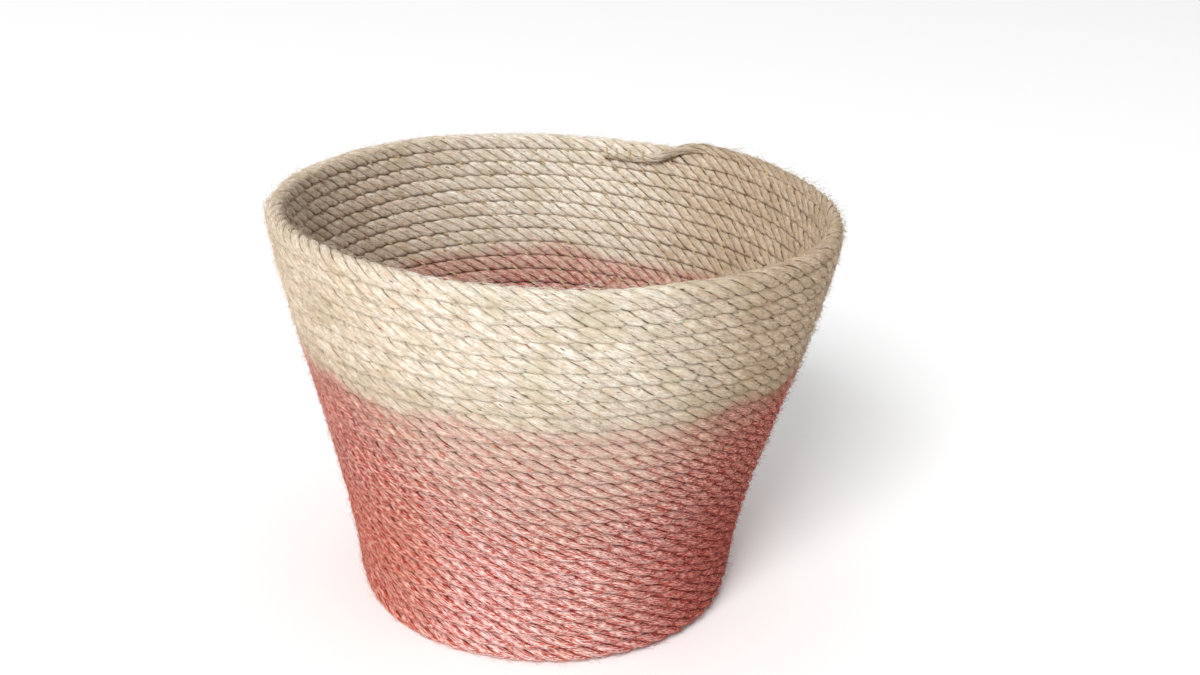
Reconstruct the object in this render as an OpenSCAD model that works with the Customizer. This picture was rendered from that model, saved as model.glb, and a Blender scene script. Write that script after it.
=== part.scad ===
// Round storage basket made of one thick laid rope. The rope is coiled flat for the base and
// then upwards for the wall, and twine sews each round to the round before it.
// The origin is the middle of the foot, on the floor, with +Z up. Each round is a level ring.

/* [Basket] */
// Outer diameter across the rim
rim_d = 400; // [370:5:430]
// Outer diameter across the foot
foot_d = 273; // [257:4:289]
// Height from the floor to the top of the rim
height = 295; // [275:5:335]
// Lean of the wall from upright at its foot, in degrees
foot_lean = 5.5; // [2:0.5:12]
// Lean of the wall from upright at its rim, in degrees
rim_lean = 9.5; // [4:0.5:12]

/* [Rope] */
// Diameter of the rope where nothing presses on it
rope_d = 12; // [11:0.5:15]
// Distance between the middles of two neighbouring rounds, as a share of rope_d
spacing_share = 0.93; // [0.89:0.005:0.93]
// Depth that the floor presses flat under the rope
floor_press = 0.5; // [0.3:0.1:0.8]

/* [Twine] */
// Diameter of the twine in the joint between two rounds
twine_d = 1.6; // [1:0.2:2]

/* [Rope end] */
// Diameter of the thinned end of the rope, which lies inside the rim
tail_d = 7.5; // [5:0.5:9]
// Length of the thinned end along the wall
tail_length = 90; // [60:10:140]
// Direction from the middle of the basket to where the end starts, in degrees from +X
tail_side = 50; // [0:5:355]
// Gap between the thinned end and the rounds that it is sewn to
tail_gap = 0.1; // [0.1:0.1:0.5]

/* [Dye] */
// Height up to which the rope is fully dyed
dyed_to = 100; // [60:10:140]
// Height from which the rope has its natural colour
natural_from = 210; // [170:5:230]

/* [Hidden] */
rope_r = rope_d / 2;
twine_r = twine_d / 2;
tail_r = tail_d / 2;

// Middle of the rope in the first wall round and in the rim round, as [radius, height]
foot_mid = [foot_d / 2 - rope_r, rope_r - floor_press];
rim_mid = [rim_d / 2 - rope_r, height - rope_r];
flare = rim_mid.x - foot_mid.x;
rise = rim_mid.y - foot_mid.y;

// The rim round is the last wall round, and the heart fills what the base rounds leave
wall_rounds = 1 + round(norm([flare, rise]) / (rope_d * spacing_share));
spacing = norm([flare, rise]) / (wall_rounds - 1);
base_rounds = floor(foot_mid.x / spacing - 0.95);
heart_r = foot_mid.x - (base_rounds + 0.5) * spacing;

natural_colour = [0.86, 0.79, 0.66];
dyed_colour = [0.80, 0.38, 0.30];
twine_colour = [0.72, 0.62, 0.46];

function base_name(n) = str("base_round_", n);
function wall_name(n) = str("wall_round_", n < 10 ? "0" : "", n);

// Middle of base round n, counted outwards. The next round out is wall round 1.
function base_mid(n) = foot_mid - [(base_rounds + 1 - n) * spacing, 0];

// Middle of wall round n. The wall's outline is a cubic that leans out by foot_lean at its
// foot and by rim_lean at its rim, and by more between them.
function wall_mid(n) =
    let (
        t = (n - 1) / (wall_rounds - 1),
        swell = flare * t * t * (3 - 2 * t),
        from_foot = rise * tan(foot_lean) * t * (1 - t) * (1 - t),
        from_rim = rise * tan(rim_lean) * t * t * (1 - t)
    )
    foot_mid + [swell + from_foot - from_rim, rise * t];

// The rope's colour at a height: dyed at the foot, natural at the rim, mixed between them
function rope_colour(z) =
    let (dye = min(1, max(0, (natural_from - z) / (natural_from - dyed_to))))
    natural_colour + (dyed_colour - natural_colour) * dye;

// Places its 2D children at the joint between two rounds, with +X towards the second one
module at_joint(mid, next_mid) {
    across = next_mid - mid;
    translate((mid + next_mid) / 2) rotate(atan2(across.y, across.x)) children();
}

// Section of the twine, and of the channel that it lies in: eight flats, as it is squeezed
module twine_section() {
    circle(r = twine_r, $fn = 8);
}

// Section of a round: a circle that each neighbour and the floor press flat, with half of the
// twine's channel in each face where it meets a neighbour
module round_section(mid, neighbours) {
    difference() {
        intersection() {
            translate(mid) circle(r = rope_r, $fn = 96);
            translate([mid.x - rope_r, 0]) square([rope_d, mid.y + rope_r]);
        }
        for (neighbour = neighbours) at_joint(mid, neighbour) {
            translate([0, -rope_d]) square([rope_d, 2 * rope_d]);
            twine_section();
        }
    }
}

module rope_round(mid, neighbours) {
    color(rope_colour(mid.y)) rotate_extrude($fn = 180) round_section(mid, neighbours);
}

module base_round(n) {
    inner = n > 1 ? base_mid(n - 1) : [heart_r - spacing / 2, foot_mid.y];
    rope_round(base_mid(n), [inner, base_mid(n + 1)]);
}

module wall_round(n) {
    below = n > 1 ? [wall_mid(n - 1)] : [base_mid(base_rounds)];
    above = n < wall_rounds ? [wall_mid(n + 1)] : [];
    rope_round(wall_mid(n), concat(below, above));
}

// The start of the rope, curled up so tightly that it leaves no hole
module base_heart() {
    curl_mid = [max(0, heart_r - spacing / 2), foot_mid.y];
    color(rope_colour(foot_mid.y)) rotate_extrude($fn = 96) difference() {
        intersection() {
            union() {
                translate(curl_mid) circle(r = rope_r, $fn = 96);
                square([curl_mid.x, foot_mid.y + rope_r]);
            }
            square([heart_r, foot_mid.y + rope_r]);
        }
        translate([heart_r, foot_mid.y]) twine_section();
    }
}

// The end of the rope, thinned, cut off square and laid inside in the valley below the rim
// round. It lies against the two rounds beside it, so its middle is further in than theirs.
module rope_tail() {
    above = wall_mid(wall_rounds);
    below = wall_mid(wall_rounds - 1);
    inwards = sqrt((rope_r + tail_r + tail_gap) ^ 2 - (norm(above - below) / 2) ^ 2);
    wall_up = (above - below) / norm(above - below);
    mid = (above + below) / 2 + inwards * [-wall_up.y, wall_up.x];
    turn = tail_length / mid.x * 180 / PI;
    color(natural_colour) rotate([0, 0, tail_side])
        rotate_extrude(angle = turn, $fn = 180) translate(mid) circle(r = tail_r, $fn = 48);
}

module twine_ring(mid, next_mid) {
    rotate_extrude($fn = 180) at_joint(mid, next_mid) twine_section();
}

// Twine through the joints of the base, between the heart, the base rounds and wall round 1
module base_lacing() {
    heart_side = [heart_r - spacing / 2, foot_mid.y];
    color(twine_colour) {
        twine_ring(heart_side, base_mid(1));
        for (n = [1 : base_rounds]) twine_ring(base_mid(n), base_mid(n + 1));
    }
}

// Twine through the joints of the wall, each between a round and the round above it
module wall_lacing() {
    color(twine_colour) for (n = [1 : wall_rounds - 1]) twine_ring(wall_mid(n), wall_mid(n + 1));
}

base_heart();
for (n = [1 : base_rounds])
    base_round(n);
for (n = [1 : wall_rounds - 1])
    wall_round(n);
wall_round(wall_rounds);  // rim_round
rope_tail();
base_lacing();
wall_lacing();
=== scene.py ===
"""Looks of a round storage basket coiled from one thick four-strand rope.

Every round of the coil is one piece that replaces the CAD ring of the same name. The pieces are
consecutive turns of one spiral, so the strands run on from each piece to the next one.
"""

import math

import bpy
import numpy as np
from mathutils import Matrix, Vector


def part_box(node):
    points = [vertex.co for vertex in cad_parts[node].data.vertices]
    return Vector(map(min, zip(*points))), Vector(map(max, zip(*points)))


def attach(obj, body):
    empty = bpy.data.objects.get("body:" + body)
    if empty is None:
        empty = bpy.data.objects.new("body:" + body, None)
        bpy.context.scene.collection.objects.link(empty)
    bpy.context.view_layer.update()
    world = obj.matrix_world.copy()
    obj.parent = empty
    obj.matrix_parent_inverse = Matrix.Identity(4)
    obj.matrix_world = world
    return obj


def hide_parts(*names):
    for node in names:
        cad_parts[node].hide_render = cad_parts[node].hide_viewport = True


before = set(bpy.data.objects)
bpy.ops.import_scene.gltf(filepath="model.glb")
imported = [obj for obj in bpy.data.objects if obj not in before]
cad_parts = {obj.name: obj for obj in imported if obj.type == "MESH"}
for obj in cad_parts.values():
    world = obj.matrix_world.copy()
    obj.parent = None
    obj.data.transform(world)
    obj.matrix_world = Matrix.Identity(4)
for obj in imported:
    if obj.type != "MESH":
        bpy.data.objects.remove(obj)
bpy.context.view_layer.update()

# ---------------------------------------------------------------- sizes, in metres
ROPE_R = 0.006            # rope radius where nothing presses on it
STRANDS = 4
CROWN_R = 1.05 * ROPE_R   # rope axis to the top of a strand
CORE_R = 0.30 * ROPE_R    # rope axis to the inner edge of a strand
STRAND_R = 0.414 * CROWN_R  # radius of a strand that nothing presses on
STRAND_MID = CROWN_R - STRAND_R
ROUND_DYED = 0.66         # 1 keeps the strands round, 0 packs them into a smooth rope
ROUND_NATURAL = 0.42      # undyed fibre is fluffier and fills more of the grooves
ROUND_FREE = 0.50         # where nothing lies on the rope
HALF_STRAND = math.radians(45)  # a strand's half width, seen from the rope axis
CROWN_POINTS = 13         # points across the crown of a strand
STEP = 0.0019             # distance between two sections along the rope
OVERLAP = 0.0012          # how far a piece runs on inside the next one, a little thinner
THINNER = 0.97            # its size there
SQUARE_DYED = 2.8         # power of the section: 2 is round, more fills the valleys at joints
SQUARE_NATURAL = 5.5
SQUARE_FREE = 2.2         # towards a side where nothing lies on the rope
PRESS = 0.00012           # how far a flattened side passes the joint with its neighbour
FACING = (0.89, 0.96)     # cosines between which the rope comes to fill its joint
FLOOR_SOFT = 0.0008       # height below which the rope is pressed flat by the floor
SEAM = math.radians(50)   # direction in which each round passes into the next
CORNER_FADE = 9           # rounds over which the coil evens out above the foot
HEART_TURN = 1.22         # turns of rope in the heart of the base
HEART_START = 0.35        # turns over which the rope's start gets thicker and rises
HEART_THINNER = 0.20      # how much thinner its very start is
HEART_DIVE = 0.0025       # how much lower its very start lies
RIM_TAPER = 0.35          # turns over which the rim gets thinner before the rope's end
RIM_THINNER = 0.35        # how much thinner it gets
TAIL_R = 0.00375          # rope radius at its thinned end
TAIL_THIN = 0.8           # part of the end's length over which it gets thinner
TAIL_MOVED = 0.62         # part of it over which it passes from the rim to the inside
TAIL_LOOSE = 0.3          # part of it over which it goes back to a round section

TWINE_R = 0.0008
TWINE_SIDES = 6
TWINE_STEP = 0.0018
STITCH = 0.030            # distance between two stitches along a joint
STITCH_SHOWN = 0.42       # share of each stitch that shows
STITCH_DEPTH = 0.0058     # how far a stitch stands inwards from the middle of its joint
STITCH_REACH = 0.0034     # how far a stitch reaches across the joint, up and down
TAIL_STITCHES = (0.62, 0.74, 0.86, 0.96)  # where stitches hold the rope's end, along its length
TAIL_SLANT = 0.0012       # how far such a stitch moves along the rope for each radian around it

FIBRE_SLANT = 0.38        # how far the fibres go around the rope for each metre along it
FIBRE_R = 0.00012
FIBRE_NODES = 6
VALLEY = 0.0048           # rope axis to a fibre that bridges the valley at a joint
FIBRES_PER_METRE = {"outside": 650, "inside": 220, "top": 900}
FLUFFY = 1.7              # how many times more fibres natural rope has outside
# the open sides of the rope: their middles, as angles from outward, and half of their width
SIDES = {"outside": (0.0, 0.0056), "inside": (math.pi, 0.0056), "top": (-math.pi / 2, 0.0075)}

NATURAL_FROM = 0.200      # height of the dye's upper edge
EDGE_SOFT = 0.006         # half of the height over which that edge fades
DEEPEST_DYE = 0.080       # height below which the dye is deepest
ROPE_FADE = (0.165, 0.205)  # heights between which the rope goes from tight to fluffy


# ---------------------------------------------------------------- the coil's section
def rounds_named(start):
    """The frame's nodes whose names are this start and a number, in the order of the numbers."""
    names = [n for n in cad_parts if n.startswith(start)]
    return sorted(names, key=lambda n: int(n[len(start):]))


base_names = rounds_named("base_round_")
wall_names = rounds_named("wall_round_") + ["rim_round"]
round_names = base_names + wall_names
FOOT = len(base_names)            # turn number of the wall's first round
LAST = len(round_names) - 1       # turn number of the rim round

base_step = (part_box(base_names[-1])[1][0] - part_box(base_names[0])[1][0]) / (FOOT - 1)
wall_r = np.array([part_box(n)[1][0] for n in wall_names]) - ROPE_R
foot_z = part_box(base_names[0])[1][2] - ROPE_R
top_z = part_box("rim_round")[1][2] - ROPE_R
tail_low, tail_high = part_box("rope_tail")
round_r = np.concatenate([wall_r[0] - base_step * np.arange(FOOT, 0, -1), wall_r])
round_z = np.concatenate([np.full(FOOT, foot_z), np.linspace(foot_z, top_z, len(wall_names))])

TAIL_TURN = math.atan2(tail_high[1], tail_low[0]) - SEAM  # how far round the rope's end lies


# ---------------------------------------------------------------- noise
def random_table(seed, shape):
    """Random values between -1 and 1, the same for the same seed."""
    return np.random.default_rng(seed).uniform(-1, 1, shape)


def ease(x):
    """Goes from 0 to 1 as x does, and starts and ends level."""
    return x * x * (3 - 2 * x)


def noise_1d(x, seed):
    """Smooth noise between -1 and 1 along a line, with one random value per unit of x."""
    table = random_table(seed, 4096)
    cell = np.floor(x).astype(int)
    blend = ease(x - cell)
    return table[cell % 4096] * (1 - blend) + table[(cell + 1) % 4096] * blend


def noise_2d(x, y, seed):
    """Smooth noise between -1 and 1 on a plane."""
    table = random_table(seed, (512, 512))
    i, j = np.floor(x).astype(int), np.floor(y).astype(int)
    u, v = ease(x - i), ease(y - j)
    low = table[i % 512, j % 512] * (1 - u) + table[(i + 1) % 512, j % 512] * u
    high = table[i % 512, (j + 1) % 512] * (1 - u) + table[(i + 1) % 512, (j + 1) % 512] * u
    return low * (1 - v) + high * v


# ---------------------------------------------------------------- the coil
TURNS = np.arange(-2, LAST + 3)
section_r = np.interp(TURNS, np.arange(LAST + 1), round_r)
section_z = np.interp(TURNS, np.arange(LAST + 1), round_z)
section_r[:2] -= base_step * np.array([2, 1])
section_r[-2:] += (round_r[-1] - round_r[-2]) * np.array([1, 2])
section_z[-2:] += (round_z[-1] - round_z[-2]) * np.array([1, 2])


def corner(turn):
    """How far the coil stands off its even section where the base turns up into the wall.

    A turn that passes from beside the turn before it to on top of it has to go round it.
    The offset fades out over the next rounds."""
    part = turn - np.floor(turn)
    step_r, step_z = round_r[FOOT + 1] - round_r[FOOT], round_z[FOOT + 1] - round_z[FOOT]
    gap = base_step + (math.hypot(step_r, step_z) - base_step) * part
    angle = math.atan2(step_z, step_r) * part
    out = gap * np.cos(angle) - base_step * (1 - part) - step_r * part
    up = gap * np.sin(angle) - step_z * part
    fade = np.where(turn < FOOT, 0, np.clip(1 - (turn - FOOT - 1) / CORNER_FADE, 0, 1))
    return out * fade, up * fade


def section(turn):
    """Radius and height of the rope's middle at a turn number, for a coil laid evenly."""
    out, up = corner(turn)
    return np.interp(turn, TURNS, section_r) + out, np.interp(turn, TURNS, section_z) + up


def hand_laid(theta, turn):
    """Small waves in a coil that was laid by hand, as offsets in radius and height."""
    on_wall = np.clip((turn - FOOT) / 6, 0, 1)
    up_wall = (turn - FOOT) / (LAST - FOOT)
    out = (0.0014 * np.sin(2 * np.pi * (up_wall - 0.40))
           + 0.0009 * np.sin(3 * theta + 0.6 + 0.23 * turn)
           + 0.0006 * np.sin(5 * theta + 2.1 - 0.31 * turn)
           + 0.0004 * np.sin(9 * theta + 0.9 + 0.17 * turn))
    up = (0.0008 * np.sin(2 * theta + 1.7 + 0.12 * turn)
          + 0.0005 * np.sin(4 * theta + 0.4 - 0.22 * turn))
    return out * on_wall, up * on_wall


def direction_at(turn):
    """Direction from the middle of the basket at a turn number."""
    return SEAM + 2 * np.pi * (turn - 0.5)


fine_turn = np.linspace(-1.5, LAST + 1.5, 60 * (LAST + 3) + 1)
fine_r = np.maximum(section(fine_turn)[0], ROPE_R / 2)
fine_s = np.concatenate([[0], np.cumsum((fine_r[1:] + fine_r[:-1]) * np.pi * np.diff(fine_turn))])


def rope_length(turn):
    """Length of rope from its start to a turn number."""
    return np.interp(turn, fine_turn, fine_s)


# length of rope in which a strand goes round once, at some turn numbers: the rope was laid
# more loosely in its first part
LAY_TURNS = (0, FOOT + 8, FOOT + 13, LAST)
LAYS = (0.057, 0.060, 0.048, 0.050)
fine_lay = np.interp(fine_turn, LAY_TURNS, LAYS)
fine_twist = np.concatenate([[0], np.cumsum(np.diff(fine_s) / fine_lay[1:])])


def twist_at(s):
    """Turns that a strand has made around the rope by a length of rope."""
    return np.interp(s, fine_s, fine_twist)


def unit(r, z):
    """The direction of an offset in the section, with length 1."""
    length = np.hypot(r, z)
    return r / length, z / length


def press_flat(offset, limit):
    """Flattens offsets that come near a limit, as soft rope does against its neighbour."""
    start, room = 0.80 * limit, 0.25 * limit
    return np.where(offset > start, start + room * np.tanh((offset - start) / room), offset)


class Path:
    """Sections along a stretch of rope.

    s is the length from the rope's start; r, z and theta place its middle; across points
    towards the next round, and outward out of the wall; size scales the rope; dyed is 0 on
    natural rope and 1 on dyed rope; power is the shape of its section, and roundness that of
    its strands; filled is 1 where it reaches right into its joints; free is true where no round
    follows; and presses holds, for each neighbour, its direction and how far the rope reaches
    that way."""

    def __init__(self, turn):
        self.s, self.theta = rope_length(turn), direction_at(turn)
        middle = section(turn)
        waves = hand_laid(self.theta, turn)
        self.r, self.z = middle[0] + waves[0], middle[1] + waves[1]
        after, before = section(turn + 0.5), section(turn - 0.5)
        self.across = unit(after[0] - before[0], after[1] - before[1])
        self.outward = (self.across[1], -self.across[0])
        taper = RIM_THINNER * ease(np.clip(1 + (turn - LAST - 0.5) / RIM_TAPER, 0, 1))
        self.r = self.r - taper * ROPE_R * self.across[0]
        self.z = self.z - taper * ROPE_R * self.across[1]
        self.size = 1 - taper
        self.size[[0, -1]] *= THINNER
        tight, fluffy = ROPE_FADE
        self.dyed = ease(np.clip((fluffy - self.z) / (fluffy - tight), 0, 1))
        self.power = SQUARE_NATURAL + (SQUARE_DYED - SQUARE_NATURAL) * self.dyed
        self.roundness = ROUND_NATURAL + (ROUND_DYED - ROUND_NATURAL) * self.dyed
        self.filled = np.ones_like(turn)
        self.presses = []
        for side in (-1, 1):
            beside = section(turn + side)
            gap_r, gap_z = beside[0] - middle[0], beside[1] - middle[1]
            free = turn < 0 if side < 0 else turn > LAST - 0.5
            reach = np.where(free, 1.0, (np.hypot(gap_r, gap_z) / 2 + PRESS) * self.size)
            self.presses.append((unit(gap_r, gap_z), reach))
            self.roundness = np.where(free, ROUND_FREE, self.roundness)
        self.free = turn > LAST - 0.5


def swell(out, across, power, free):
    """How much a round section grows, in the direction of each offset, into a squarer one.

    Where free is true, the side towards the next round stays rounder."""
    power = np.where((across > 0) & (free > 0), SQUARE_FREE, power)
    length = np.maximum(np.hypot(out, across), 1e-6)
    return ((np.abs(out) / length) ** power + (np.abs(across) / length) ** power) ** (-1 / power)


def place(path, out, across):
    """World positions of points given by their offsets out of the wall and across the rounds,
    and the cosine of the angle between each offset and the nearest neighbour."""
    fill = swell(out, across, path.power[:, None], path.free[:, None])
    out, across = out * fill, across * fill
    r = out * path.outward[0][:, None] + across * path.across[0][:, None]
    z = out * path.outward[1][:, None] + across * path.across[1][:, None]
    length = np.hypot(r, z)
    beside = np.zeros_like(length)
    for (side_r, side_z), reach in path.presses:
        side_r, side_z, reach = side_r[:, None], side_z[:, None], reach[:, None]
        towards = r * side_r + z * side_z
        cosine = towards / length * (reach < CROWN_R)
        beside = np.maximum(beside, cosine)
        facing = ease(np.clip((cosine - FACING[0]) / (FACING[1] - FACING[0]), 0, 1))
        facing = facing * (length > ROPE_R / 2)
        touching = towards + np.clip(reach - towards, 0, None) * facing * path.filled[:, None]
        change = press_flat(touching, reach) - towards
        r, z = r + change * side_r, z + change * side_z
    r, z = r + path.r[:, None], z + path.z[:, None]
    z = np.where(z < FLOOR_SOFT, FLOOR_SOFT * (1 - np.tanh(1 - z / FLOOR_SOFT)), z)
    theta = path.theta[:, None]
    return np.stack([r * np.cos(theta), r * np.sin(theta), z], -1), beside


class HeartPath(Path):
    """The start of the rope: its thin end dives into the middle of the base."""

    def __init__(self, turn):
        super().__init__(turn)
        start = ease(np.clip((turn - turn[0]) / HEART_START, 0, 1))
        self.size *= 1 - HEART_THINNER + HEART_THINNER * start
        self.z = self.z - HEART_DIVE * (1 - start)


class TailPath(Path):
    """The end of the rope: it leaves the top of the rim, goes round the rim's first stretch to
    the inside of the wall, and lies thinned in the valley below the rim round."""

    def __init__(self, count):
        length = TAIL_TURN * round_r[-1]
        part = np.concatenate([[-OVERLAP / length], np.linspace(0, 1, count - 1)])
        turn = LAST + 0.5 + part * TAIL_TURN / (2 * np.pi)
        super().__init__(turn)
        self.s = rope_length(LAST + 0.5) + part * length
        rim_r, rim_z = section(turn - 1)
        below_r, below_z = section(turn - 2)
        over = unit(rim_r - below_r, rim_z - below_z)
        gap = np.hypot(rim_r - below_r, rim_z - below_z)
        thin = ease(np.clip(part / TAIL_THIN, 0, 1))
        start_size = 1 - RIM_THINNER
        self.size = start_size + (TAIL_R / ROPE_R - start_size) * thin
        self.size[0] *= THINNER
        radius = ROPE_R * self.size
        inwards = np.sqrt((ROPE_R + radius) ** 2 - (gap / 2) ** 2)
        start = np.arctan2(over[1], over[0])
        end = start + np.pi - np.arctan2(inwards, gap / 2)
        moved = ease(np.clip(part / TAIL_MOVED, 0, 1))
        angle = start + (end - start) * moved
        top = gap - RIM_THINNER * ROPE_R
        distance = (1 - moved) * top + moved * (ROPE_R + radius - PRESS)
        out, up = (a + (b - a) * moved for a, b in zip(hand_laid(self.theta, turn),
                                                       hand_laid(self.theta, turn - 1)))
        self.r = rim_r + out + distance * np.cos(angle)
        self.z = rim_z + up + distance * np.sin(angle)
        self.across = (np.cos(angle), np.sin(angle))
        self.outward = (self.across[1], -self.across[0])
        loose = ease(np.clip(part / TAIL_LOOSE, 0, 1))
        self.filled = 1 - loose
        self.power = self.power + (2 - self.power) * loose
        self.presses = [((-self.across[0], -self.across[1]), radius * 0.95)]


# ---------------------------------------------------------------- mesh building
# What each point carries for the materials: its place along and around the rope in metres, how
# deep it lies between two strands, the number of its strand, and how much it faces a neighbour.
VALUES = ("along", "around", "groove", "strand", "joint")


class Mesh:
    """Collects swept grids of points with their values, then makes one object of them."""

    def __init__(self):
        self.points, self.faces, self.values, self.count = [], [], [], 0

    def add_tube(self, grid, values):
        """A closed tube: grid is sections x points x 3, values is sections x points x values."""
        rows, cols = grid.shape[:2]
        index = self.count + np.arange(rows * cols).reshape(rows, cols)
        nxt = np.roll(index, -1, axis=1)
        quads = np.stack([index[:-1], nxt[:-1], nxt[1:], index[1:]], -1).reshape(-1, 4)
        self.faces += [quads, index[:1, ::-1], index[-1:]]
        self.points.append(grid.reshape(-1, 3))
        self.values.append(values.reshape(-1, len(VALUES)))
        self.count += rows * cols

    def make(self, name, material):
        points = np.concatenate(self.points)
        loops = np.concatenate([f.reshape(-1) for f in self.faces])
        sizes = np.concatenate([np.full(len(f), f.shape[1]) for f in self.faces])
        starts = np.concatenate([[0], np.cumsum(sizes)[:-1]])
        mesh = bpy.data.meshes.new(name)
        mesh.vertices.add(len(points))
        mesh.vertices.foreach_set("co", points.astype(np.float32).reshape(-1))
        mesh.loops.add(len(loops))
        mesh.loops.foreach_set("vertex_index", loops.astype(np.int32))
        mesh.polygons.add(len(sizes))
        mesh.polygons.foreach_set("loop_start", starts.astype(np.int32))
        mesh.update(calc_edges=True)
        values = np.concatenate(self.values)
        for k, value in enumerate(VALUES):
            layer = mesh.attributes.new(value, "FLOAT", "POINT")
            layer.data.foreach_set("value", np.ascontiguousarray(values[:, k], dtype=np.float32))
        mesh.polygons.foreach_set("use_smooth", sizes == 4)  # all but the caps
        mesh.validate()
        mesh.materials.append(material)
        piece = bpy.data.objects.new(name, mesh)
        bpy.context.collection.objects.link(piece)
        return piece


def crown_profile():
    """Angles across a strand, how much lower than its crown a round strand lies there, and the
    same as a share, from 0 on the crown to 1 in the groove."""
    angle = HALF_STRAND * np.sin(np.linspace(-1, 1, CROWN_POINTS) * np.pi / 2)
    side = np.clip(STRAND_R ** 2 - (STRAND_MID * np.sin(angle)) ** 2, 0, None)
    drop = CROWN_R - STRAND_MID * np.cos(angle) - np.sqrt(side)
    return angle, drop, drop / drop.max()


def add_strands(mesh, path):
    """The twisted strands of a stretch of rope, each a closed tube that reaches in to the core.

    Slow noise varies how far they have twisted and how thick they are, and fine noise makes
    their relief. Natural rope is the more uneven."""
    angle, drop, depth = crown_profile()
    uneven = 1.6 - 0.6 * path.dyed
    for k in range(STRANDS):
        turn_by = 2 * np.pi * (twist_at(path.s) + k / STRANDS) + 0.28 * noise_1d(path.s / 0.07, 11)
        fat = 0.05 * noise_1d(path.s / 0.030, 21 + k) + 0.03 * noise_1d(path.s / 0.010, 31 + k)
        fat = 1 + fat * uneven
        polar = turn_by[:, None] + angle[None, :]
        around = polar * ROPE_R
        relief = (0.00018 * noise_2d(path.s[:, None] / 0.009, around / 0.0017, 41 + k)
                  + 0.00012 * noise_2d(path.s[:, None] / 0.004, around / 0.0010, 51 + k))
        rope = path.size[:, None]
        crown = CROWN_R - drop[None, :] * path.roundness[:, None]
        radius = (crown * fat[:, None] + relief) * rope
        inner = turn_by[:, None] + np.array([[HALF_STRAND, -HALF_STRAND]]) * 0.8
        out = np.concatenate([radius * np.cos(polar), CORE_R * np.cos(inner) * rope], 1)
        across = np.concatenate([-radius * np.sin(polar), -CORE_R * np.sin(inner) * rope], 1)
        grid, beside = place(path, out, across)
        values = np.zeros(grid.shape[:2] + (len(VALUES),))
        values[..., 0] = path.s[:, None]
        values[:, :CROWN_POINTS, 1] = around
        values[:, CROWN_POINTS:, 1] = inner * ROPE_R
        values[..., 2] = 1
        values[:, :CROWN_POINTS, 2] = depth[None, :]
        values[..., 3] = k
        values[..., 4] = beside
        mesh.add_tube(grid, values)


def add_fibres(mesh, path, side, seed):
    """Loose fibres on one side of the rope, each a thin three-sided thread.

    Some hug the rope and cross its grooves and its joints, some stand off it in a loop, and
    some end in the air."""
    middle, half = SIDES[side]
    more = FLUFFY if side == "outside" and path.dyed.mean() < 0.5 else 1
    count = int((path.s[-1] - path.s[0]) * FIBRES_PER_METRE[side] * more)
    rng = np.random.default_rng(seed)

    def some(low, high):
        return rng.uniform(low, high, (count, 1))

    u = np.linspace(0, 1, FIBRE_NODES)[None, :]
    kind = some(0, 1)
    length = np.where(kind < 0.6, some(0.006, 0.018), some(0.004, 0.011))
    start = some(path.s[0], path.s[-1])
    way_on = np.where(start + length > path.s[-1], -1, np.sign(some(-0.35, 0.65)))
    run = length * u * np.where(start - length < path.s[0], 1, way_on)
    s = start + run
    way = (some(-half, half) + FIBRE_SLANT * run + some(-0.0036, 0.0036) * u
           + 0.0015 * some(-1, 1) * np.sin(u * some(3, 7)))
    loop = some(0.0008, 0.0030) * np.sin(np.pi * u)
    free = some(0.0010, 0.0055) * u ** 1.6
    lift = np.where(kind < 0.6, 0.0005 * np.sin(np.pi * u), np.where(kind < 0.8, loop, free))

    def along_path(values):
        return np.interp(s, path.s, np.broadcast_to(values, path.s.shape))

    if side == "top" or path.filled[-1] == 0:
        polar = middle + way / ROPE_R
        out, across = np.cos(polar), -np.sin(polar)
        fill = swell(out, across, along_path(path.power), along_path(path.free))
        radius = CROWN_R * along_path(path.size) * fill + lift
        out, across = out * radius, across * radius
    else:
        across = -way * math.cos(middle)
        beside = across - base_step * np.round(across / base_step)
        power = along_path(path.power)
        crown = (CROWN_R ** power - np.abs(beside) ** power) ** (1 / power)
        out = (np.maximum(crown, VALLEY) * along_path(path.size) + lift) * math.cos(middle)
    r = along_path(path.r) + out * along_path(path.outward[0]) + across * along_path(path.across[0])
    z = along_path(path.z) + out * along_path(path.outward[1]) + across * along_path(path.across[1])
    theta = along_path(path.theta)
    line = np.stack([r * np.cos(theta), r * np.sin(theta), np.maximum(z, FLOOR_SOFT)], -1)
    forward = np.gradient(line, axis=1)
    forward /= np.linalg.norm(forward, axis=2, keepdims=True) + 1e-9
    up = np.array([0.31, 0.22, 0.92])  # a direction that hardly any fibre runs in
    u_axis = np.cross(forward, up)
    u_axis /= np.linalg.norm(u_axis, axis=2, keepdims=True) + 1e-9
    v_axis = np.cross(forward, u_axis)
    taper = FIBRE_R * some(0.7, 1.3) * np.linspace(1, 0.5, FIBRE_NODES)[None, :]
    for i in range(count):
        rings = [line[i] + taper[i][:, None] * (math.cos(a) * u_axis[i] + math.sin(a) * v_axis[i])
                 for a in (0, 2 * math.pi / 3, 4 * math.pi / 3)]
        grid = np.stack(rings, 1)
        values = np.zeros((FIBRE_NODES, 3, len(VALUES)))
        values[..., 0] = s[i][:, None]
        values[..., 1] = middle * ROPE_R + way[i][:, None]
        values[..., 3] = STRANDS
        mesh.add_tube(grid, values)


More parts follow.
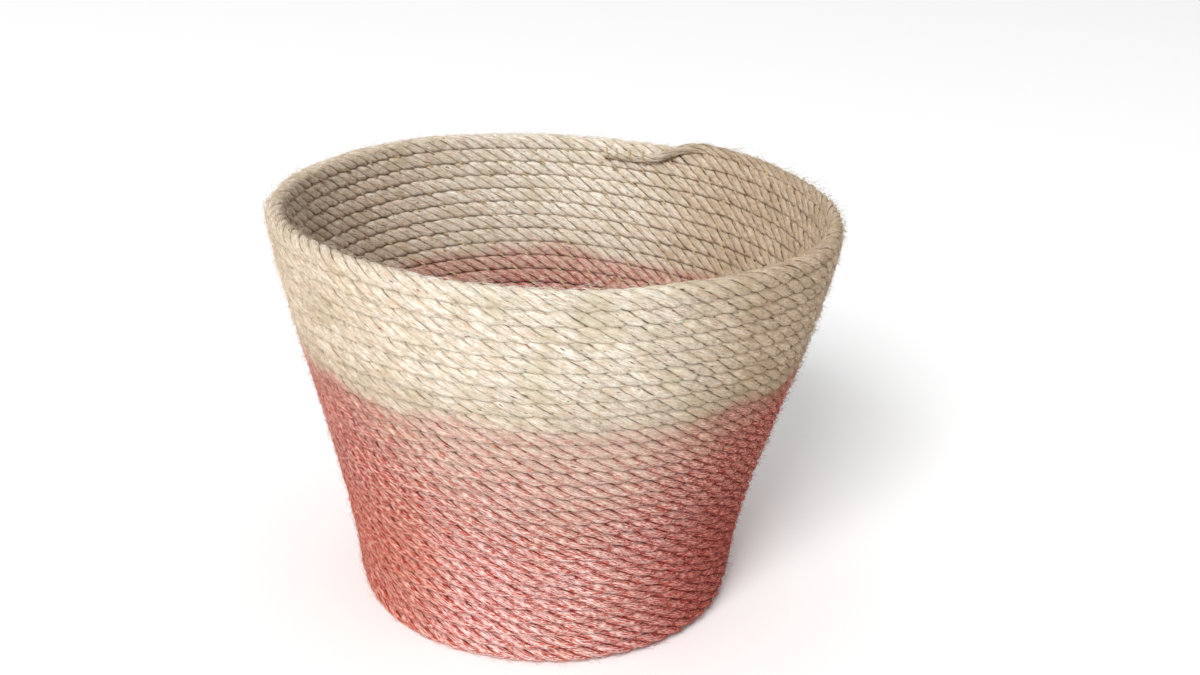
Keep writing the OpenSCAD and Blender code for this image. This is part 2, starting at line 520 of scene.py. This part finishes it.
def add_twine(mesh, line, start_length):
    """A round thread along a line of world points."""
    forward = np.gradient(line, axis=0)
    forward /= np.linalg.norm(forward, axis=1, keepdims=True)
    up = np.array([0.02, 0.03, 1.0])
    u = np.cross(forward, up)
    u /= np.linalg.norm(u, axis=1, keepdims=True) + 1e-9
    v = np.cross(forward, u)
    ring = np.linspace(0, 2 * np.pi, TWINE_SIDES, endpoint=False)
    circle = (np.cos(ring)[None, :, None] * u[:, None, :]
              + np.sin(ring)[None, :, None] * v[:, None, :])
    values = np.zeros((len(line), TWINE_SIDES, len(VALUES)))
    length = np.concatenate([[0], np.cumsum(np.linalg.norm(np.diff(line, axis=0), axis=1))])
    values[..., 0] = (start_length + length)[:, None]
    values[..., 1] = ring[None, :] * TWINE_R
    mesh.add_tube(line[:, None, :] + circle * TWINE_R, values)


def joint_line(first, last):
    """The running stitch in the joint between each turn and the next one.

    Once in every STITCH it comes out on the inside and crosses the valley on a slant."""
    count = int((rope_length(last) - rope_length(first)) / TWINE_STEP)
    turn = np.linspace(first, last, count)
    theta = direction_at(turn)
    waves = hand_laid(theta, turn)
    here, there = section(turn), section(turn + 1)
    along_r, along_z = unit(there[0] - here[0], there[1] - here[1])
    joint_r, joint_z = (here[0] + there[0]) / 2 + waves[0], (here[1] + there[1]) / 2 + waves[1]
    s = rope_length(turn)
    phase = s / STITCH + 0.25 * noise_1d(s / STITCH, 61)
    part = phase - np.floor(phase)
    over = np.pi * np.clip(part / STITCH_SHOWN, 0, 1)
    under = np.pi * (part - STITCH_SHOWN) / (1 - STITCH_SHOWN)
    out = -STITCH_DEPTH * np.sin(over) ** 0.6
    hidden = np.cos(under) * (0.5 + 0.5 * np.abs(np.cos(under)))
    across = STITCH_REACH * np.where(part < STITCH_SHOWN, -np.cos(over), hidden)
    r = joint_r + out * along_z + across * along_r
    z = joint_z - out * along_r + across * along_z
    return np.stack([r * np.cos(theta), r * np.sin(theta), z], -1)


def tail_stitch(path, part):
    """A stitch that holds the rope's thinned end: it comes out of the wall, goes over the end
    on a slant and into the wall again."""
    k = round(part * (len(path.s) - 1))
    round_it = np.radians(np.linspace(-125, 125, 26))
    radius = CROWN_R * path.size[k] + TWINE_R / 2
    away, aside = radius * np.cos(round_it), radius * np.sin(round_it)
    r = path.r[k] + away * path.across[0][k] + aside * path.outward[0][k]
    z = path.z[k] + away * path.across[1][k] + aside * path.outward[1][k]
    theta = path.theta[k] + round_it * TAIL_SLANT / path.r[k]
    return np.stack([r * np.cos(theta), r * np.sin(theta), z], -1)


# ---------------------------------------------------------------- materials
def new_material(name):
    material = bpy.data.materials.new(name)
    material.use_nodes = True
    nodes = material.node_tree.nodes
    nodes.clear()
    shader = nodes.new("ShaderNodeBsdfPrincipled")
    output = nodes.new("ShaderNodeOutputMaterial")
    material.node_tree.links.new(shader.outputs[0], output.inputs[0])
    return material, shader


class Nodes:
    """Short names for the shader nodes that the materials are made of."""

    def __init__(self, material):
        self.tree = material.node_tree

    def link(self, value, socket):
        if isinstance(value, bpy.types.NodeSocket):
            self.tree.links.new(value, socket)
        else:
            socket.default_value = value

    def attribute(self, name):
        node = self.tree.nodes.new("ShaderNodeAttribute")
        node.attribute_name = name
        return node.outputs["Fac"]

    def math(self, operation, a, b=0.0, clamp=False):
        node = self.tree.nodes.new("ShaderNodeMath")
        node.operation = operation
        node.use_clamp = clamp
        self.link(a, node.inputs[0])
        self.link(b, node.inputs[1])
        return node.outputs[0]

    def times(self, a, b):
        return self.math("MULTIPLY", a, b)

    def plus(self, a, b, clamp=False):
        return self.math("ADD", a, b, clamp)

    def larger(self, a, b):
        return self.math("MAXIMUM", a, b)

    def combine(self, x, y, z):
        node = self.tree.nodes.new("ShaderNodeCombineXYZ")
        for value, socket in zip((x, y, z), node.inputs):
            self.link(value, socket)
        return node.outputs[0]

    def noise(self, vector, scale, detail=2.0, roughness=0.5):
        node = self.tree.nodes.new("ShaderNodeTexNoise")
        self.link(vector, node.inputs["Vector"])
        node.inputs["Scale"].default_value = scale
        node.inputs["Detail"].default_value = detail
        node.inputs["Roughness"].default_value = roughness
        return node.outputs["Fac"]

    def remap(self, value, low, high, to_low=0.0, to_high=1.0, smooth=False):
        node = self.tree.nodes.new("ShaderNodeMapRange")
        node.interpolation_type = "SMOOTHSTEP" if smooth else "LINEAR"
        self.link(value, node.inputs["Value"])
        node.inputs["From Min"].default_value = low
        node.inputs["From Max"].default_value = high
        node.inputs["To Min"].default_value = to_low
        node.inputs["To Max"].default_value = to_high
        return node.outputs["Result"]

    def mix(self, factor, a, b, blend="MIX"):
        node = self.tree.nodes.new("ShaderNodeMix")
        node.data_type = "RGBA"
        node.blend_type = blend
        self.link(factor, node.inputs["Factor"])
        self.link(a, node.inputs["A"])
        self.link(b, node.inputs["B"])
        return node.outputs["Result"]

    def tint(self, factor, a, by):
        """Colour a, multiplied by another colour."""
        return self.mix(factor, a, by, "MULTIPLY")

    def bump(self, height, distance, strength, normal=None):
        node = self.tree.nodes.new("ShaderNodeBump")
        self.link(height, node.inputs["Height"])
        node.inputs["Distance"].default_value = distance
        node.inputs["Strength"].default_value = strength
        if normal is not None:
            self.link(normal, node.inputs["Normal"])
        return node.outputs["Normal"]


def colour(red, green, blue):
    """A colour given as it looks on screen, from 0 to 255, in the linear values that nodes use."""
    def linear(c):
        c /= 255
        return c / 12.92 if c <= 0.04045 else ((c + 0.055) / 1.055) ** 2.4

    return (linear(red), linear(green), linear(blue), 1.0)


def rope_material():
    material, shader = new_material("rope")
    n = Nodes(material)
    where = material.node_tree.nodes.new("ShaderNodeTexCoord").outputs["Object"]
    axes = material.node_tree.nodes.new("ShaderNodeSeparateXYZ")
    n.link(where, axes.inputs[0])
    x, y, z = axes.outputs["X"], axes.outputs["Y"], axes.outputs["Z"]
    along, around, strand = n.attribute("along"), n.attribute("around"), n.attribute("strand")
    groove, joint = n.attribute("groove"), n.attribute("joint")

    # the fibres lie at a smaller angle to the rope than its strands do
    slanted = n.math("SUBTRACT", around, n.times(along, FIBRE_SLANT))

    def rope_noise(per_along, per_around, offset, detail, roughness):
        own = n.plus(n.times(strand, 9.0), offset)  # each strand has a pattern of its own
        at = n.combine(n.times(along, per_along), n.times(slanted, per_around), own)
        return n.noise(at, 1.0, detail, roughness)

    # fibres are long along the rope and narrow around it; tufts are about a strand wide
    fibre = rope_noise(180.0, 1250.0, 0.0, 3.0, 0.6)
    fine = rope_noise(300.0, 4200.0, 3.0, 2.0, 0.6)
    tuft = rope_noise(85.0, 330.0, 6.0, 2.0, 0.5)
    faint = rope_noise(40.0, 70.0, 50.0, 1.0, 0.5)
    patch = n.noise(where, 38.0, 3.0, 0.55)
    speck = n.noise(where, 210.0, 2.0, 0.6)
    grain = rope_noise(240.0, 1450.0, 60.0, 1.0, 0.5)
    cloud = n.noise(where, 14.0, 2.0, 0.5)

    # painted shade together with deeper dye: darker away from the front, most of all at the two
    # sides near the foot
    left_shade_and_dye = n.remap(x, -0.040, -0.160, 0.0, 0.65, smooth=True)
    right_shade_and_dye = n.remap(x, 0.030, 0.150, 0.0, 0.90, smooth=True)
    back_shade_and_dye = n.remap(y, -0.020, 0.100, 0.0, 0.55, smooth=True)
    side_shade_and_dye = n.larger(n.larger(left_shade_and_dye, right_shade_and_dye), back_shade_and_dye)
    low = n.remap(z, 0.150, 0.060, 0.0, 1.0, smooth=True)
    low_left_shade_and_dye = n.times(low, n.remap(x, -0.030, -0.120, 0.0, 0.65, smooth=True))
    low_right_shade_and_dye = n.times(low, n.remap(x, 0.020, 0.110, 0.0, 0.85, smooth=True))

    # undyed rope: cream with straw, grey-green and rosy tufts, and some brown stains
    straw = n.mix(n.remap(fibre, 0.36, 0.56), colour(196, 174, 144), colour(255, 247, 232))
    straw = n.mix(n.remap(fine, 0.52, 0.66, 0.0, 0.7), straw, colour(255, 252, 244))
    tinted = n.mix(n.remap(tuft, 0.52, 0.68, 0.0, 0.6), straw, colour(232, 200, 174))
    tinted = n.mix(n.remap(tuft, 0.50, 0.28, 0.0, 0.5), tinted, colour(252, 250, 240))
    natural = n.mix(n.remap(patch, 0.50, 0.66, 0.0, 0.45), tinted, colour(214, 202, 168))
    # painted shade: the undyed rope is darker on its sides, most of all on the right
    natural = n.tint(left_shade_and_dye, natural, colour(240, 230, 220))
    natural = n.tint(right_shade_and_dye, natural, colour(218, 202, 186))
    stain = n.times(n.remap(speck, 0.54, 0.66, 0.0, 0.6), n.larger(left_shade_and_dye, right_shade_and_dye))
    natural = n.mix(stain, natural, colour(182, 154, 118))

    # dyed rope: coral flanks, pale crowns with a painted highlight, and light and dark streaks over
    # both
    coral = n.mix(n.remap(fibre, 0.36, 0.62), colour(186, 76, 62), colour(238, 148, 132))
    pale_and_highlight_crown = n.mix(n.remap(fine, 0.36, 0.62), colour(244, 190, 180), colour(255, 248, 244))
    # painted highlight on the strand crowns, together with paler dyed fibre there
    crown = n.times(n.remap(groove, 0.0, 0.30, 1.0, 0.0), n.remap(tuft, 0.35, 0.62, 0.25, 1.0))
    warm = n.remap(cloud, 0.50, 0.66, 0.0, 0.5)
    cool = n.remap(cloud, 0.50, 0.34, 0.0, 0.5)
    dyed = n.mix(n.times(crown, 0.95), coral, pale_and_highlight_crown)
    dyed = n.tint(warm, dyed, colour(255, 232, 208))
    dyed = n.tint(cool, dyed, colour(255, 234, 242))
    # painted shade together with deeper dye at the sides and back, also in the streak colours
    dyed = n.tint(side_shade_and_dye, dyed, colour(212, 132, 116))
    light_streak = n.mix(side_shade_and_dye, colour(255, 236, 228), colour(240, 180, 160))
    dark_streak = n.mix(side_shade_and_dye, colour(172, 62, 52), colour(138, 40, 32))
    dyed = n.mix(n.remap(grain, 0.53, 0.60, 0.0, 0.90), dyed, light_streak)
    dyed = n.mix(n.remap(grain, 0.46, 0.39, 0.0, 0.90), dyed, dark_streak)
    # painted shade together with deeper dye low on the two sides
    dyed = n.tint(low_left_shade_and_dye, dyed, colour(232, 186, 160))
    dyed = n.tint(low_right_shade_and_dye, dyed, colour(220, 168, 162))

    # the dye ends in a ragged edge, and below it deepens in patches and fibre by fibre
    shift = n.plus(n.remap(cloud, 0.2, 0.8, -0.010, 0.010),
                   n.remap(speck, 0.2, 0.8, -0.009, 0.009))
    level = n.plus(z, shift)
    edge = n.remap(level, NATURAL_FROM - EDGE_SOFT, NATURAL_FROM + EDGE_SOFT, 0.46, 0.0,
                   smooth=True)
    body = n.remap(level, DEEPEST_DYE, NATURAL_FROM, 0.56, 0.0, smooth=True)
    on_left = n.times(left_shade_and_dye, n.remap(level, 0.150, NATURAL_FROM, 0.9, 0.5))
    elsewhere = n.times(n.larger(right_shade_and_dye, back_shade_and_dye), n.remap(level, 0.130, NATURAL_FROM, 0.9, 0.15))
    sides = n.larger(on_left, elsewhere)
    sides = n.times(sides, n.remap(edge, 0.0, 0.4, smooth=True))
    dye = n.plus(n.plus(edge, body), sides, clamp=True)
    spots = n.remap(n.plus(fibre, speck), 0.70, 1.30, -0.6, 0.6)
    take = n.times(n.times(dye, n.math("SUBTRACT", 1.0, dye)), 3.0)
    dye = n.plus(dye, n.times(spots, take), clamp=True)
    body_colour = n.mix(dye, natural, dyed)

    # painted shade: grooves are darker, and redder where the rope is dyed; short slits in them are
    # darkest, more so towards the right
    slit = rope_noise(170.0, 60.0, 20.0, 1.0, 0.5)
    groove_shade_colour = n.mix(dye, colour(190, 168, 136), colour(150, 46, 38))
    slit_shade_colour = n.mix(dye, colour(84, 64, 44), colour(92, 28, 22))
    shade = n.remap(groove, 0.35, 1.0, 0.0, 0.80, smooth=True)
    often = n.larger(n.remap(faint, 0.38, 0.62, 0.15, 1.0), n.larger(dye, side_shade_and_dye))
    shade = n.times(shade, often)
    body_colour = n.mix(shade, body_colour, groove_shade_colour)
    slit_shade = n.times(n.remap(groove, 0.42, 0.90, 0.0, 1.0, smooth=True),
                       n.remap(slit, 0.47, 0.58, 0.0, 0.95))
    slit_shade_here = n.larger(n.remap(x, -0.060, 0.080, 0.55, 1.0), n.remap(dye, 0.0, 0.5))
    slit_shade = n.times(slit_shade, slit_shade_here)
    body_colour = n.mix(slit_shade, body_colour, slit_shade_colour)
    # painted shade in the valleys between rounds, red on dyed rope
    line = n.times(n.remap(joint, 0.78, 0.95, 0.0, 0.75, smooth=True), dye)
    body_colour = n.mix(line, body_colour, colour(140, 44, 36))

    # painted shade: the middle of the wall is a little darker and greyer
    middle = n.times(n.remap(z, 0.240, 0.205, smooth=True),
                     n.remap(z, 0.070, 0.120, smooth=True))
    body_colour = n.tint(middle, body_colour, colour(244, 241, 238))

    # flecks of bark
    fleck = n.remap(rope_noise(160.0, 520.0, 40.0, 1.0, 0.4), 0.71, 0.75, 0.0, 0.8)
    body_colour = n.mix(fleck, body_colour, colour(92, 66, 46))

    n.link(body_colour, shader.inputs["Base Color"])
    n.link(n.remap(fibre, 0.3, 0.7, 0.95, 0.72), shader.inputs["Roughness"])
    relief = n.plus(n.plus(fibre, n.times(fine, 0.5)), tuft)
    n.link(n.bump(relief, 0.0014, 0.9), shader.inputs["Normal"])
    shader.inputs["Specular IOR Level"].default_value = 0.15
    shader.inputs["Sheen Weight"].default_value = 0.05
    shader.inputs["Sheen Roughness"].default_value = 0.6
    return material


def twine_material():
    material, shader = new_material("twine")
    n = Nodes(material)
    along, around = n.attribute("along"), n.attribute("around")
    twist = n.plus(n.times(along, 900.0), n.times(around, 1100.0))
    ply = n.math("SINE", n.times(twist, 2.0))
    at = n.combine(n.times(along, 500.0), n.times(around, 3000.0), 3.0)
    fibre = n.noise(at, 1.0, 2.0, 0.6)
    base = n.mix(n.remap(fibre, 0.3, 0.7), colour(186, 160, 122), colour(226, 205, 168))
    # painted shade: darker in the grooves between the twine's plies
    n.link(n.mix(n.remap(ply, -1.0, -0.3, 0.5, 0.0), base, colour(120, 96, 66)),
           shader.inputs["Base Color"])
    n.link(n.bump(n.plus(n.times(ply, 0.5), fibre), 0.0006, 0.8),
           shader.inputs["Normal"])
    shader.inputs["Roughness"].default_value = 0.85
    shader.inputs["Specular IOR Level"].default_value = 0.25
    return material


def floor_material():
    material, shader = new_material("floor")
    shader.inputs["Base Color"].default_value = colour(254, 254, 254)
    shader.inputs["Roughness"].default_value = 0.9
    return material


# ---------------------------------------------------------------- pieces
rope = rope_material()
twine = twine_material()


def stand_for(mesh, node, material):
    """Makes the piece that replaces a node of the frame."""
    piece = mesh.make("piece_" + node, material)
    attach(piece, "root")
    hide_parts(node)


def make_rope(node, path, sides, seed):
    """A stretch of rope, with loose fibres on the sides that can be seen."""
    mesh = Mesh()
    add_strands(mesh, path)
    for number, side in enumerate(sides):
        add_fibres(mesh, path, side, seed + 1000 * number)
    stand_for(mesh, node, rope)


def turns_between(first, last):
    """Turn numbers of a piece's sections, with one more at each end inside the next piece."""
    length = rope_length(last) - rope_length(first)
    more = OVERLAP * (last - first) / length
    inside = np.linspace(first, last, max(12, round(length / STEP)))
    return np.concatenate([[first - more], inside, [last + more]])


make_rope("base_heart", HeartPath(turns_between(-0.5 - HEART_TURN, -0.5)), ["inside"], 90)
for number, name in enumerate(round_names):
    sides = ["inside"] if number < FOOT else ["outside", "inside"]
    if number == LAST:
        sides = ["outside", "top", "inside"]
    make_rope(name, Path(turns_between(number - 0.5, number + 0.5)), sides, 100 + number)
tail = TailPath(90)
make_rope("rope_tail", tail, ["inside", "top"], 200)

for node, first, last in (("base_lacing", -0.5, FOOT - 0.5),
                          ("wall_lacing", FOOT - 0.5, LAST - 0.5)):
    mesh = Mesh()
    add_twine(mesh, joint_line(first, last), rope_length(first))
    if node == "wall_lacing":
        for part in TAIL_STITCHES:
            add_twine(mesh, tail_stitch(tail, part), part)
    stand_for(mesh, node, twine)

# ---------------------------------------------------------------- floor, light and camera
FLOOR_SIZE = 80
bpy.ops.mesh.primitive_plane_add(size=FLOOR_SIZE)
floor = bpy.context.object
floor.name = "floor"
floor.data.materials.append(floor_material())

WORLD_LIGHT = 0.60
KEY_PLACE = (-4.6, -11.9, 9.8)
KEY_SIZE = 6.0
KEY_POWER = 2330

world = bpy.data.worlds.new("world")
bpy.context.scene.world = world
world.use_nodes = True
world.node_tree.nodes["Background"].inputs[0].default_value = (1.0, 1.0, 1.0, 1.0)
world.node_tree.nodes["Background"].inputs[1].default_value = WORLD_LIGHT


def soft_light(name, place, size, power, target=(0, 0, 0.15)):
    light = bpy.data.lights.new(name, "AREA")
    light.size = size
    light.energy = power
    lamp = bpy.data.objects.new(name, light)
    lamp.location = place
    lamp.rotation_euler = (Vector(target) - Vector(place)).to_track_quat("-Z", "Y").to_euler()
    bpy.context.collection.objects.link(lamp)


soft_light("key", KEY_PLACE, KEY_SIZE, KEY_POWER)

CAMERA_PLACE = (0.0, -1.0193, 0.5969)
CAMERA_YAW = 0.0341    # radians to the right of +Y
CAMERA_PITCH = 0.3795  # radians below the horizon
CAMERA_ROLL = 0.0483   # radians clockwise
CAMERA_LENS = 45.3     # millimetres, on a 36 mm wide sensor

camera_data = bpy.data.cameras.new("camera")
camera_data.sensor_width = 36
camera_data.lens = CAMERA_LENS
camera = bpy.data.objects.new("camera", camera_data)
aim = (Matrix.Rotation(-CAMERA_YAW, 3, "Z") @ Matrix.Rotation(math.pi / 2 - CAMERA_PITCH, 3, "X")
       @ Matrix.Rotation(CAMERA_ROLL, 3, "Z"))
camera.matrix_world = Matrix.Translation(CAMERA_PLACE) @ aim.to_4x4()
bpy.context.collection.objects.link(camera)
bpy.context.scene.camera = camera
bpy.context.scene.view_settings.view_transform = "Standard"
